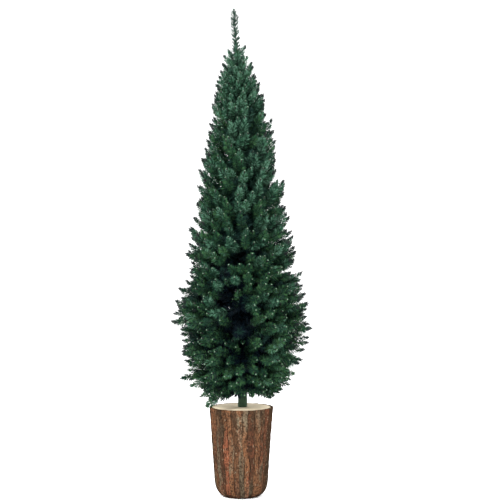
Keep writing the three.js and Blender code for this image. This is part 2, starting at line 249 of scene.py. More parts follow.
TOP_RISE_SPREAD = 4
LOW_EDGE_LIFT = 16  # of the lowest tips above the solids' edge
LOW_EDGE_CHANGE = (CROWN_BOTTOM_Z, 110)
FULLER_Z = 1540  # where the twigs reach a little further than the solids
FULLER_HEIGHT = 45
FULLER_BY = 0.14
SECTOR_POWER = 4  # how squarely hollows and notches end
HOLLOWS = (  # in front: lowest and highest z, azimuth at each, half width
    (455, 800, -87, -99, 15),
    (850, 935, -88, -92, 6.5),
)
HOLLOW_EDGE = 45  # height over which a hollow begins and ends
HOLLOW_DEPTH = 0.5  # by which the twigs in it are shorter
HOLLOW_MISSING = 0.88  # share of them that it lacks
NOTCHES = (  # where the outline steps in: lowest and highest z, azimuth, half width, share taken
    (560, 632, 180, 42, 0.14),
    (860, 1070, 0, 30, 0.045),
    (1206, 1262, 0, 38, 0.16),
)
NOTCH_EDGE = 16
LOW_TIPS = (  # the lowest twigs, the first of which hangs over the log's rim
    (-123, -190, 353),
    (-112, -160, 372),
    (-150, -60, 372),
    (-222, -20, 434),
    (-186, -70, 412),
    (-70, -130, 380),
    (198, 0, 448),
    (176, -30, 412),
    (150, -60, 398),
    (97, -80, 380),
)
LOW_FORK_SHARE = 0.12  # of its tip's distance from the pole, where such a twig begins
LOW_FORK_Z = 396
LOW_FORK_ABOVE = 8
LOW_HANDLES = (50, 60)
LOW_ARCH = 9

# Needles.
NEEDLE_SIZES = ((23, 2.8), (18, 2.6))  # length and width, and those at the crown's top
DEEP_NEEDLE_SIZES = ((34, 4.2), (17, 2.6))
NEEDLE_TIP_LENGTH = 15
NEEDLE_LENGTHS = (0.82, 1.08)  # of single ones, as shares of their size
NEEDLE_WIDTHS = (0.85, 1.15)
NEEDLE_WIDEST = 0.66  # share of its length where a needle is widest
NEEDLE_BEND = 0.03  # share of it by which it is bent forwards
NEEDLE_TILT = (57, 29)  # along the wire and at its tip
TILT_SPREAD = 8
TURN_STRAY = 0.5  # in radians, round the wire
ROLL_SPREAD = 1.1  # in radians, round the needle
UPRIGHT = 0.9
TUFT_LENGTH = 10  # by which the needles reach past the wire's end
TAPER_LENGTH = 24  # over which a spray narrows to its tip
OUTER_LENGTH = 62  # of a twig's dense outer part
OUTER_DENSITY = 3.5  # needles for each millimetre of wire
DEEP_STRETCHES = {  # dark needles: from and to which distance from the end, and density
    "outer": (150, OUTER_LENGTH, 0.8),
    "inner": (90, 0, 1.2),
    "boughs": (400, 0, 2.4),
}
DEEP_POLE = (  # those on the pole: lowest and highest z, density and size
    (372, 1300, 2.8, (42, 3.4)),
    (1300, 1650, 2.4, (18, 2.4)),
)
LENGTH_STEPS = 9

# Wires.
WIRE_RADIUS = 1.3
WIRE_END_RADIUS = 1.04
BOUGH_RADIUS = 2.6
SLEEVE_RADII = (1.68, 2.4)  # of the dark sleeve on a wire's end
SLEEVE_LENGTH = 13
CUT_RADIUS = 2.16  # of the pale cut end in it
CUT_PLACE = (-0.8, 0.2)  # its two ends, past the sleeve's

# Leader.
LEADER_SEED = 21
LEADER_WIRE = ((0, 0), (1.5, 0.33), (-1, 0.67), (0, 1))  # four points: sideways, and up
LEADER_FOOT_Z = POLE_TOP_Z - 20
LEADER_END_Z = TREE_HEIGHT - 16
LEADER_FOOT_RADIUS = 2.4
LEADER_WHORLS = 16
LEADER_TUFTS = 8  # in each whorl
LEADER_TUFT_NEEDLES = 5
LEADER_FIRST_WHORL = 0.75  # of the distance between two whorls
LEADER_TUFT_STRAY = 0.3  # of that distance, and of the angle between two tufts
LEADER_TUFT_TURN = 0.2
LEADER_TUFT_RISE = 0.1
LEADER_NEEDLE_LENGTHS = (26, 11.7)  # along it and at its tip
LEADER_LENGTHS = (0.85, 1.08)  # of single ones, as shares of those
LEADER_SHORT = 0.55  # length of the first needle of each tuft
LEADER_NEEDLE_WIDTH = 3.0
LEADER_TILT = (46, 26)
LEADER_TILT_SPREAD = 4
LEADER_TIP = 0.14  # share of it where its needles are shorter and steeper
LEADER_GREENS = {"light": (0.030, 0.068, 0.046), "dark": (0.011, 0.032, 0.021)}
LEADER_DARK_SHARE = 0.45

# Base colours of the needles, dealt out by spray: pale ones as painted light at the crown's top, dark ones as
# painted shade low down, and in each spray lighter streaks as painted glints and darker ones as painted
# shade.
GREENS = {
    "pale": (0.059, 0.132, 0.088),
    "teal": (0.0215, 0.067, 0.0375),
    "green": (0.0140, 0.049, 0.0225),
    "leaf": (0.0305, 0.082, 0.0320),
    "dark": (0.0065, 0.0265, 0.0155),
}
PALE_SHARE = 0.95  # of the sprays at the crown's top, pale as painted light
PALE_POWER = 3.6
GREEN_SHARES = {  # of the sprays at its foot and higher up, and the height where that is reached
    "teal": (0.0, 0.40, 0.7),
    "leaf": (0.28, 0.02, 0.7),
    # dark sprays low down as painted shade
    "dark": (0.47, 0.0, 0.75),
}
# painted glints and painted shade between needles, in streaks
LIGHTER = {"dark": "leaf", "green": "leaf", "leaf": "pale", "teal": "pale", "pale": "pale"}
DARKER = {"pale": "green", "teal": "dark", "leaf": "green", "green": "dark", "dark": "dark"}
LIGHTER_SHARE = 0.24  # of a spray's streaks of needles take a lighter green, as painted glints
# share of them that take a darker green, as painted shade between needles
DARKER_SHARE = 0.38
STREAK_LENGTH = 5
STREAKS_AROUND = 9
TIP_ZONE = 32  # length at a twig's end whose needles are painted lighter, as painted light, while those behind are painted darker, as painted shade
TIP_ZONE_SPREAD = 13
# painted light on the sprays' ends and painted shade on their sides
ZONE_PAINTED_LIGHT_AND_SHADE = {"tips": 1.45, "sides": 0.7}
END_ZONE = 7  # at the end of sideways twigs, nearly as dark as the sleeves
END_SIDEWAYS = 1.6  # times further to the side than to the front or back
END_LOW_Z = 480
END_COLOUR = (0.021, 0.036, 0.031)
DEEP_SHADE_GREENS = {  # painted shade on the inner needles, near black low down and lighter higher up: by the height up to which each is dealt out
    "low": (860, (0.0004, 0.0044, 0.0078)),
    "lower": (1050, (0.0035, 0.0135, 0.0120)),
    "middle": (1250, (0.014, 0.043, 0.031)),
    "upper": (1450, (0.023, 0.062, 0.044)),
    "high": (1800, (0.030, 0.076, 0.052)),
}
# lighter painted shade on the inner needles nearer the crown's outside
DEEP_OUTER_SHADE_GREEN = (0.006, 0.023, 0.018)
DEEP_OUTER_SHARE = 0.66  # of the crown's reach, beyond which that green, a lighter painted shade, takes over
DEEP_OUTER_Z = 1450
NEEDLE_SURFACE = (0.6, 0.12)  # roughness and specular level

# Other materials.
MIX_A, MIX_B, MIX_RESULT = 6, 7, 2  # places of the mix node's sockets for colours
MOTTLE_SHADE = 0.7
BLOTCHES = (0.4, 0.65)
SURFACES = {  # colour under the pattern, roughness and specular level
    "bark": ((0.09, 0.05, 0.03), 1.0, 0.0),
    "sawn_wood": ((0.62, 0.53, 0.38), 0.8, 0.2),
    "pole_green": ((0.008, 0.020, 0.011), 0.65, 0.15),
    "wire": ((0.007, 0.017, 0.011), 0.8, 0.05),
    "leader_wire": ((0.02, 0.05, 0.032), 0.8, 0.05),
    "tip_sleeve": ((0.030, 0.027, 0.029), 0.8, 0.05),
    "tip_cut": ((0.155, 0.245, 0.16), 0.8, 0.1),
    "floor": ((0.97, 0.97, 0.97), 0.9, 0.1),
}
BUMPS = {"bark": (0.0025, 0.9), "sawn_wood": (0.0006, 0.6), "pole_green": (0.0008, 0.7)}  # depth and strength
NOISES = {  # scales of the axes, scale, detail and roughness
    "mottle": ((1, 1, 1), 150, 4, 0.55),
    "bark_streaks": ((1, 1, 0.3), 120, 5, 0.7),
    "bark_grain": ((1, 1, 0.75), 165, 4, 0.7),
    "bark_fibres": ((1, 1, 0.07), 330, 5, 0.7),
    "bark_patches": ((1, 1, 0.7), 85, 3, 0.55),
    "bark_flecks": ((1, 1, 0.5), 170, 3, 0.55),
    "sawn_blotches": ((1, 1, 1), 22, 4, 0.55),
    "saw_marks": ((0.15, 1, 1), 420, 3, 0.55),
    "film": ((1, 1, 0.3), 160, 4, 0.55),
}

# Floor, light and camera.
FLOOR_RADIUS = 40000
FLOOR_Z = -0.5
FLOOR_SIDES = 96
SKY_STRENGTH = 1.6
LIGHTS = {  # place, height of its target, size and power
    "key": ((-2.2, -3.4, 4.2), 0.9, 1.8, 300),
    "fill": ((2.8, -3.0, 3.2), 0.9, 1.8, 110),
    "low_left": ((-2.7, 2.7, 1.3), 0.4, 1.2, 90),
    "low_right": ((2.7, 2.7, 1.3), 0.4, 1.2, 90),
}
CAMERA_PLACE = (0.032, -4.5, 0.903)
SENSOR_WIDTH = 36
FOCAL_PIXELS = 1222
PHOTO_PIXELS = 500


def lerp(a, b, share):
    return a + (b - a) * share


def smooth(share):
    share = np.clip(share, 0, 1)
    return share * share * (3 - 2 * share)


def changed(value, change):
    """From 0 to 1, how far a change has come, given where it starts and over what it runs."""
    start, width = change
    return float(smooth((value - start) / width))


def off_azimuth(degrees, azimuth):
    """From -180 to 180, by how much a direction is off an azimuth."""
    return (degrees - azimuth + 180) % 360 - 180


def circle(count):
    """Angles round a circle, and the same as shares of a turn."""
    angles = 2 * math.pi * np.arange(count) / count
    return angles, angles / (2 * math.pi)


def unit(vector):
    return vector / np.linalg.norm(vector)


def direction(azimuth, rise):
    across = math.cos(rise)
    return np.array([math.cos(azimuth) * across, math.sin(azimuth) * across, math.sin(rise)])


def straight(start, end):
    """A straight curve as four points."""
    return [lerp(start, end, share) for share in THIRDS]


def seeded_random(seed):
    """The same repeatable numbers from 0 to 1 that the solids' rule draws."""
    factor, step, span = 1664525, 1013904223, 2**32
    while True:
        seed = (seed * factor + step) % span
        yield seed / span


def crown_share(z):
    return (z - CROWN_BOTTOM_Z) / (CROWN_TOP_Z - CROWN_BOTTOM_Z)


def crown_reach(z):
    above = max(0, (z - CROWN_WIDEST_Z) / (CROWN_VANISHING_Z - CROWN_WIDEST_Z))
    below = max(0, (CROWN_WIDEST_Z - z) / (CROWN_WIDEST_Z - CROWN_BOTTOM_Z))
    taper = (1 - above) ** CROWN_TAPER_POWER - SKIRT_DRAW_IN * below**SKIRT_POWER
    bulge = math.exp(-(((z - CROWN_WIDEST_Z) / CROWN_BULGE_HEIGHT) ** 2))
    return CROWN_REACH * taper + CROWN_BULGE * bulge


def crown_slope(z):
    return math.tan(math.radians(lerp(LOWEST_RISE, HIGHEST_RISE, crown_share(z))))


def pole_radius(z):
    joint = np.clip((z - POLE_JOINT_Z) / POLE_JOINT_LENGTH, 0, 1)
    neck = np.clip((z - POLE_NECK_Z) / (POLE_TOP_Z - POLE_NECK_Z), 0, 1)
    return lerp(POLE_RADIUS, POLE_UPPER_RADIUS, joint) - (POLE_UPPER_RADIUS - POLE_TIP_RADIUS) * neck


def step_height(steps):
    share = steps / BRANCH_STEPS
    return lerp(CROWN_BOTTOM_Z, CROWN_TOP_Z, share * (1 - STEP_GROWTH * (1 - share)))


def column_spaces(column):
    """The spaces of one column's branches, from the bottom up, each between two edges."""
    steps = [0]
    step = LOWEST_BRANCH + (column * COLUMN_STEP) % 1
    while step < BRANCH_STEPS - LOWEST_BRANCH:
        steps.append(step)
        step += 1
    steps.append(BRANCH_STEPS)
    edges = [{"z": z, "reach": crown_reach(z), "slope": crown_slope(z)} for z in map(step_height, steps)]
    return [{"column": column, "low": low, "high": high} for low, high in zip(edges, edges[1:])]


def edge_height(edge, r):
    return edge["z"] - (edge["reach"] - r) * edge["slope"]


def point_in(space, across, up, r):
    z = lerp(edge_height(space["low"], r), edge_height(space["high"], r), up)
    angle = 2 * math.pi * space["column"] / COLUMNS + COLUMN_TWIST * z + across * HALF_COLUMN
    return np.array([r * math.cos(angle), r * math.sin(angle), z])


def tip_places(rows, tips, random):
    """The places and the stretch of a branch's tips, drawn in the same order as the solids' are."""

    def stray():
        return (2 * next(random) - 1) * PLACE_SPREAD

    for row in range(rows):
        shift = (TWIG_STAGGER if row % 2 else -TWIG_STAGGER) / tips
        for tip in range(tips):
            across = ((2 * tip + 1) / tips - 1) * ROW_WIDTH + shift + stray()
            up = (row + 0.5) / rows + stray()
            stretch = 1 + (2 * next(random) - 1) * SPRAY_REACH_SPREAD
            next(random)  # the solids' rule draws the spray's turn here
            yield across, up, stretch


def inside(tip, low_z, high_z, edge, azimuth, half_width):
    """From 0 to 1, how far a place is inside a sector between two heights."""
    off = off_azimuth(math.degrees(math.atan2(tip[1], tip[0])), azimuth)
    up = smooth((tip[2] - low_z) / edge) * smooth((high_z - tip[2]) / edge)
    return math.exp(-((off / half_width) ** SECTOR_POWER)) * float(up)


def hollow_at(tip):
    """From 0 to 1, how far inside one of the crown's hollows a place is."""
    most = 0
    for low_z, high_z, low_azimuth, high_azimuth, half_width in HOLLOWS:
        azimuth = lerp(low_azimuth, high_azimuth, (tip[2] - low_z) / (high_z - low_z))
        most = max(most, inside(tip, low_z, high_z, HOLLOW_EDGE, azimuth, half_width))
    return most


def notched(tip):
    """The share of its reach that is left to a tip where the crown's outline steps in."""
    left = 1
    for low_z, high_z, azimuth, half_width, depth in NOTCHES:
        left -= depth * inside(tip, low_z, high_z, NOTCH_EDGE, azimuth, half_width)
    return left


def above_edge(tip):
    """Brings a tip up to the crown's lower edge."""
    return tip + [0, 0, LOW_EDGE_LIFT * (1 - changed(tip[2], LOW_EDGE_CHANGE))]


def twig_between(fork, along_bough, tip, rng):
    """A twig's curve: it leaves the bough, turns up at its end and stops short of its needles' tips."""
    share = crown_share(tip[2])
    rise = lerp(LOWEST_RISE, HIGHEST_RISE, share) + lerp(*LIFT, changed(share, LIFT_CHANGE))
    rise = math.radians(min(rise, STEEPEST) + rng.normal(0, TURN_SPREAD))
    azimuth = math.atan2(tip[1], tip[0]) + math.radians(rng.normal(0, TURN_SPREAD))
    heading = unit(STRAIGHTNESS * unit(tip - fork) + (1 - STRAIGHTNESS) * direction(azimuth, rise))
    end = tip - heading * TUFT_LENGTH
    length = np.linalg.norm(end - fork)
    leaving, ending = TWIG_HANDLES
    return [fork, fork + along_bough * length * leaving, end - heading * length * ending, end]


def top_twig(order, rng):
    """One of the twigs that stand round the pole's top, from the highest down."""
    height = TOP_HIGH_Z - TOP_LOW_Z
    below = height * math.sqrt((order + 0.5) / TOP_TWIGS)
    reach = TOP_SHOULDER * (1 - math.exp(-below / TOP_SHOULDER_DEPTH)) + TOP_WIDENING * below
    reach *= 1 + rng.uniform(-1, 1) * SPRAY_REACH_SPREAD
    azimuth = order * GOLDEN_ANGLE + math.radians(rng.normal(0, TOP_RISE_SPREAD))
    rise = lerp(*TOP_RISE, 1 - below / height) + rng.normal(0, TOP_RISE_SPREAD)
    heading = direction(azimuth, math.radians(rise))
    tip = direction(azimuth, 0) * reach + [0, 0, TOP_HIGH_Z - below]
    foot = tip - heading * (reach - POLE_TIP_RADIUS) / math.cos(math.radians(rise))
    return straight(foot, tip - heading * TUFT_LENGTH)


def low_twig(tip):
    """One of the crown's lowest twigs, which arches over to its tip."""
    fork_z = max(LOW_FORK_Z, tip[2] + LOW_FORK_ABOVE)
    fork = np.array([tip[0] * LOW_FORK_SHARE, tip[1] * LOW_FORK_SHARE, fork_z])
    heading = unit(tip - fork)
    end = tip - heading * TUFT_LENGTH
    leaving, ending = (heading * handle for handle in LOW_HANDLES)
    arch = [0, 0, LOW_ARCH]
    return [fork, fork + leaving + arch, end - ending + arch, end]


def branch_growth(space, seed):
    """The bough of one branch and its outer and inner twigs."""
    low, high = space["low"], space["high"]
    rng = np.random.default_rng(seed)
    reach = (low["reach"] + high["reach"]) / 2
    rise = math.atan((low["slope"] + high["slope"]) / 2)
    spacing = lerp(*TWIG_SPACING, crown_share((low["z"] + high["z"]) / 2))
    rows = max(1, round((high["z"] - low["z"]) * math.cos(rise) / spacing))
    tips = max(2, round(2 * HALF_COLUMN * reach / spacing))
    bough_end = reach - SPRAY_SHOWN * math.cos(rise)
    bough_start = float(pole_radius(point_in(space, 0, 0.5, POLE_RADIUS)[2])) - BOUGH_SUNK

    def on_bough(share):
        return point_in(space, 0, 0.5, lerp(bough_start, bough_end, share))

    def hollowed_tip(across, up, r):
        """A tip, shortened where it is in a hollow, and how far inside it is."""
        hollow = hollow_at(point_in(space, across, up, r))
        return above_edge(point_in(space, across, up, r * (1 - HOLLOW_DEPTH * hollow))), hollow

    along = unit(on_bough(1) - on_bough(0))
    outer, inner = [], []
    for across, up, stretch in tip_places(rows, tips, seeded_random(seed)):
        if rng.uniform() < SET_BACK_SHARE:
            stretch *= rng.uniform(*SET_BACK)
        tip_reach = lerp(low["reach"], high["reach"], np.clip(up, 0, 1)) * stretch
        tip_z = point_in(space, across, up, tip_reach)[2]
        tip_reach *= 1 + FULLER_BY * math.exp(-(((tip_z - FULLER_Z) / FULLER_HEIGHT) ** 2))
        tip_reach *= notched(point_in(space, across, up, tip_reach))
        tip, hollow = hollowed_tip(across, up, tip_reach)
        if rng.uniform() < HOLLOW_MISSING * hollow or tip[2] > TOP_LOW_Z:
            continue
        highness = changed(crown_share(tip[2]), FORK_CHANGE)
        fork_share = [lerp(*shares, highness) for shares in zip(FORK_SHARE, FORK_SHARE_TOP)]
        fork = on_bough(rng.uniform(*fork_share) * (1 - FORK_ASIDE * min(1, abs(across))))
        outer.append(twig_between(fork, along, tip, rng))
    for _ in range(INNER_TWIGS if low["z"] < INNER_TOP_Z else INNER_TWIGS_TOP):
        across, up = rng.uniform(-INNER_WIDTH, INNER_WIDTH), rng.uniform(0, 1)
        tip, _ = hollowed_tip(across, up, reach * rng.uniform(*INNER_REACH))
        inner.append(twig_between(on_bough(rng.uniform(*INNER_FORK_SHARE)), along, tip, rng))
    return [on_bough(share) for share in THIRDS], outer, inner


def on_curves(curves, which, t):
    """Points and directions on cubic curves, each on the curve that which names, at t from 0 to 1."""
    p0, p1, p2, p3 = (curves[which, k] for k in range(4))
    t = t[:, None]
    s = 1 - t
    point = s**3 * p0 + 3 * s**2 * t * p1 + 3 * s * t**2 * p2 + t**3 * p3
    heading = 3 * s**2 * (p1 - p0) + 6 * s * t * (p2 - p1) + 3 * t**2 * (p3 - p2)
    return point, heading / np.linalg.norm(heading, axis=1, keepdims=True)


def on_each(curves, t):
    """The same at one place on every curve."""
    count = len(curves)
    return on_curves(curves, np.arange(count), np.full(count, float(t)))


def square_to(heading):
    """Two directions square to each heading."""
    helper = np.where(np.abs(heading[:, 2:]) > UPRIGHT, [[1.0, 0, 0]], [[0, 0, 1.0]])
    side = np.cross(helper, heading)
    side /= np.linalg.norm(side, axis=1, keepdims=True)
    return side, np.cross(heading, side)


def lengths_of(curves):
    """Lengths of cubic curves, from short straight steps."""
    rows = [on_each(curves, t)[0] for t in np.linspace(0, 1, LENGTH_STEPS)]
    return sum(np.linalg.norm(b - a, axis=1) for a, b in zip(rows, rows[1:]))


def needle_points(root, heading, turn, tilt, length, width, roll):
    """Four corners of each needle, bent forwards: its foot, both sides of its widest place and its point."""
    side, up = square_to(heading)
    out = side * np.cos(turn)[:, None] + up * np.sin(turn)[:, None]
    along = heading * np.cos(tilt)[:, None] + out * np.sin(tilt)[:, None]
    flat = np.cross(heading, out)
    flat = flat * np.cos(roll)[:, None] + np.cross(along, flat) * np.sin(roll)[:, None]
    length = length[:, None]
    middle = root + along * length * NEEDLE_WIDEST - heading * length * NEEDLE_BEND
    belly = flat * width[:, None] / 2
    return np.stack([root, middle + belly, middle - belly, root + along * length], axis=1)


def brush(curves, start_from_end, stop_from_end, density, rng, size):
    """Needles between two distances from each curve's end, size giving their length and width.

    Comes with the curve that each grows on, its distance from that curve's end and its turn round it.
    """
    lengths = lengths_of(curves)
    start = np.clip(1 - start_from_end / lengths, 0, 1)
    stop = np.clip(1 - stop_from_end / lengths, 0, 1)
    counts = np.round((stop - start) * lengths * density).astype(int)
    which = np.repeat(np.arange(len(curves)), counts)
    order = np.concatenate([np.arange(n) for n in counts]) if len(counts) else np.zeros(0)
    count = len(order)
    share = (order + rng.uniform(0, 1, count)) / np.maximum(counts[which], 1)
    t = lerp(start[which], stop[which], share)
    root, heading = on_curves(curves, which, t)
    to_end = (1 - t) * lengths[which]
    nearness = 1 - smooth(to_end / TAPER_LENGTH)
    turn = order * GOLDEN_ANGLE + which + rng.uniform(-TURN_STRAY, TURN_STRAY, count)
    tilt = np.radians(lerp(*NEEDLE_TILT, nearness) + rng.uniform(-1, 1, count) * TILT_SPREAD)
    length = lerp(size[0], NEEDLE_TIP_LENGTH, nearness) * rng.uniform(*NEEDLE_LENGTHS, count)
    width = size[1] * rng.uniform(*NEEDLE_WIDTHS, count)
    roll = rng.uniform(-ROLL_SPREAD, ROLL_SPREAD, count)
    return needle_points(root, heading, turn, tilt, length, width, roll), which, to_end, turn


def leaned(points):
    """Moves points with the leaning top of the pole."""
    moved = points.copy()
    moved[..., 0] += np.maximum(0, points[..., 2] - LEAN_START_Z) * LEAN_SLOPE
    return moved


def new_object(name, data):
    thing = bpy.data.objects.new(name, data)
    bpy.context.scene.collection.objects.link(thing)
    return thing


def new_piece(name, points, faces, material, smooth_shading=False):
    """A mesh object from points in millimetres and arrays of faces, one face a row."""
    mesh = bpy.data.meshes.new(name)
    points = np.asarray(points, dtype=np.float32).reshape(-1, 3) * MM
    sizes = np.concatenate([np.full(len(rows), rows.shape[1]) for rows in faces])
    loops = np.concatenate([rows.ravel() for rows in faces])
    starts = np.concatenate([[0], np.cumsum(sizes)[:-1]])
    mesh.vertices.add(len(points))
    mesh.vertices.foreach_set("co", points.ravel())
    mesh.loops.add(len(loops))
    mesh.loops.foreach_set("vertex_index", loops.astype(np.int32))
    mesh.polygons.add(len(sizes))
    mesh.polygons.foreach_set("loop_start", starts.astype(np.int32))
    mesh.polygons.foreach_set("loop_total", sizes.astype(np.int32))
    mesh.polygons.foreach_set("use_smooth", np.full(len(sizes), smooth_shading))
    mesh.update(calc_edges=True)
    mesh.validate()
    mesh.materials.append(material)
    piece = new_object(name, mesh)
    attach(piece, "root")
    return piece


def needle_piece(name, needles, colour, replaced):
    """Needles in one plain colour, in place of the solids of some nodes."""
    material, _ = principled(name, colour, *NEEDLE_SURFACE)
    first = np.arange(len(needles))[:, None] * 4
    faces = [first + [[0, 1, 2]], first + [[2, 1, 3]]]
    piece = new_piece(name, leaned(needles), faces, material)
    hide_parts(*replaced)


def quads_between(below, above, sides):
    """Faces between pairs of rings, given the number of each ring's first point."""
    k = np.arange(sides)
    after = (k + 1) % sides
    below, above = below[..., None], above[..., None]
    return np.stack([below + k, below + after, above + after, above + k], -1).reshape(-1, 4)


def tube_piece(name, curves, radii, material, sides, rings):
    """Tapering tubes along cubic curves, closed at both ends."""
    count = len(curves)
    points = np.zeros((count, rings, sides, 3))
    for ring in range(rings):
        share = ring / (rings - 1)
        centre, heading = on_each(curves, share)
        side, up = square_to(heading)
        radius = lerp(*radii, share)
        for k, angle in enumerate(circle(sides)[0]):
            points[:, ring, k] = centre + radius * (math.cos(angle) * side + math.sin(angle) * up)
    foot = np.arange(count)[:, None] * rings * sides
    below = foot + np.arange(rings - 1) * sides
    k = np.arange(sides)
    faces = [quads_between(below, below + sides, sides), foot + (rings - 1) * sides + k, foot + k[::-1]]
    new_piece(name, leaned(points), faces, material)


def round_piece(name, rings, material):
    """A closed piece from rings of equally many points, the first and last closed flat."""
    count, sides = rings.shape[:2]
    below = np.arange(count - 1) * sides
    k = np.arange(sides)[None, :]
    faces = [quads_between(below, below + sides, sides), k[:, ::-1], (count - 1) * sides + k]
    return new_piece(name, rings, faces, material, True)


def ring_points(radius, z, angles):
    return np.stack([radius * np.cos(angles), radius * np.sin(angles), np.broadcast_to(z, angles.shape)], -1)


def add_values(piece, values):
    """Gives each point of a piece one number under each name."""
    for name, numbers in values.items():
        layer = piece.data.attributes.new(name, "FLOAT", "POINT")
        layer.data.foreach_set("value", np.asarray(numbers, dtype=np.float32).ravel())


def principled(name, colour, roughness, specular):
    """A new material and its main shader."""
    material = bpy.data.materials.new(name)
    material.use_nodes = True
    shader = material.node_tree.nodes["Principled BSDF"]
    values = {"Base Color": (*colour, 1), "Roughness": roughness, "Specular IOR Level": specular}
    for key, value in values.items():
        shader.inputs[key].default_value = value
    return material, shader


class Nodes:
    """A new material by its name in SURFACES, and short ways to add shader nodes to it."""

    def __init__(self, name):
        self.name = name
        self.material, self.shader = principled(name, *SURFACES[name])
        self.tree = self.material.node_tree
        self.place = self.add("ShaderNodeTexCoord", {}).outputs["Object"]

    def add(self, kind, inputs, **settings):
        """A node whose inputs are set to numbers or linked to outputs."""
        node = self.tree.nodes.new(kind)
        for key, value in settings.items():
            setattr(node, key, value)
        for key, value in inputs.items():
            socket = node.inputs[key]
            if isinstance(value, bpy.types.NodeSocket):
                self.tree.links.new(value, socket)
            else:
                socket.default_value = (*value, 1) if socket.type == "RGBA" else value
        return node

    def noise(self, name):
        axes, scale, detail, roughness = NOISES[name]
        place = self.add("ShaderNodeMapping", {"Vector": self.place, "Scale": axes}).outputs["Vector"]
        inputs = {"Vector": place, "Scale": scale, "Detail": detail, "Roughness": roughness}
        return self.add("ShaderNodeTexNoise", inputs).outputs["Fac"]

    def between(self, value, low, high):
        """0 where value is under low and 1 where it is over high."""
        inputs = {"Value": value, "From Min": low, "From Max": high}
        return self.add("ShaderNodeMapRange", inputs, interpolation_type="SMOOTHSTEP").outputs["Result"]

    def mixed(self, share, a, b):
        """A mix of two colours, each an output or three numbers."""
        inputs = {"Factor": share, MIX_A: a, MIX_B: b}
        return self.add("ShaderNodeMix", inputs, data_type="RGBA").outputs[MIX_RESULT]

    def times(self, value, factor):
        return self.add("ShaderNodeMath", {0: value, 1: factor}, operation="MULTIPLY").outputs["Value"]

    def sum(self, a, b):
        return self.add("ShaderNodeMath", {0: a, 1: b}, operation="ADD").outputs["Value"]

    def attribute(self, name):
        return self.add("ShaderNodeAttribute", {}, attribute_name=name).outputs["Fac"]

    def coloured(self, colour):
        self.tree.links.new(colour, self.shader.inputs["Base Color"])
        return self.material

    def raised(self, height):
        distance, strength = BUMPS[self.name]
        node = self.add("ShaderNodeBump", {"Height": height, "Distance": distance, "Strength": strength})
        self.tree.links.new(node.outputs["Normal"], self.shader.inputs["Normal"])


def mottled_material(name):
    """A colour that is a little darker in small blotches."""
    nodes = Nodes(name)
    colour = SURFACES[name][0]
    darker = tuple(value * MOTTLE_SHADE for value in colour)
    return nodes.coloured(nodes.mixed(nodes.between(nodes.noise("mottle"), *BLOTCHES), colour, darker))


def bark_material():
    nodes = Nodes("bark")
    streaks = nodes.noise("bark_streaks")
    noises = {name: nodes.noise(name) for name in BARK_STAINS}
    nodes.raised(nodes.sum(noises["bark_grain"], noises["bark_fibres"]))
    colour = BARK_BROWN
    for name, (other, weight, low, high) in BARK_BLENDS.items():
        share = nodes.sum(nodes.attribute(name), nodes.times(streaks, weight))
        colour = nodes.mixed(nodes.between(share, low, high), colour, other)
    # darker plates and spots of the bark's own tone, and painted shade down the log's left and right sides
    colour = nodes.mixed(nodes.times(nodes.attribute("shade"), BARK_SHADE_STRENGTH), colour, BARK_DARK)
    for name, (low, high, strength, stain) in BARK_STAINS.items():
        share = nodes.times(nodes.between(noises[name], low, high), strength)
        colour = nodes.mixed(share, colour, stain)
    # painted shade in the furrows and cracks, and darker where the log is bare at its foot
    return nodes.coloured(nodes.mixed(nodes.attribute("furrow"), colour, CREVICE_SHADE_COLOUR))


def sawn_material():
    nodes = Nodes("sawn_wood")
    nodes.raised(nodes.noise("saw_marks"))
    kinds = {"wave_type": "RINGS", "rings_direction": "Z", "wave_profile": "SIN"}
    rings = nodes.add("ShaderNodeTexWave", {"Vector": nodes.place, **SAWN_RINGS}, **kinds).outputs["Fac"]
    blotches = nodes.between(nodes.noise("sawn_blotches"), *SAWN_BLOTCHES)
    colour = nodes.mixed(blotches, SAWN_LIGHT, SAWN_DARK)
    # growth rings, and painted shade along the rim beside the bark
    for share, (strength, stain) in ((rings, SAWN_RING), (nodes.attribute("rim"), SAWN_RIM_SHADE)):
        colour = nodes.mixed(nodes.times(share, strength), colour, stain)
    return nodes.coloured(colour)


def pole_material():
    nodes = Nodes("pole_green")
    film = nodes.noise("film")
    nodes.raised(film)
    colour = nodes.mixed(nodes.between(film, *BLOTCHES), FILM_DARK, FILM_LIGHT)
    # painted light reflected from the sawn face onto the pole's foot
    return nodes.coloured(nodes.mixed(nodes.attribute("lit"), colour, POLE_FOOT_BOUNCE_COLOUR))


def lattice_noise(u, v, cells_u, cells_v, rng):
    """Smooth noise from -1 to 1 over u and v from 0 to 1, which closes on itself along u."""
    lattice = rng.uniform(-1, 1, (cells_u, cells_v + 2))
    x, y = (u % 1) * cells_u, np.clip(v, 0, 1) * cells_v
    column, row = np.floor(x).astype(int) % cells_u, np.floor(y).astype(int)
    right = (column + 1) % cells_u
    across, up = smooth(x - np.floor(x)), smooth(y - np.floor(y))
    low = lerp(lattice[column, row], lattice[right, row], across)
    high = lerp(lattice[column, row + 1], lattice[right, row + 1], across)
    return lerp(low, high, up)


def relief_noise(name, u, v, rng):
    layers = RELIEF_NOISE[name]
    return sum(strength * lattice_noise(u, v, around, up, rng) for strength, around, up in layers)


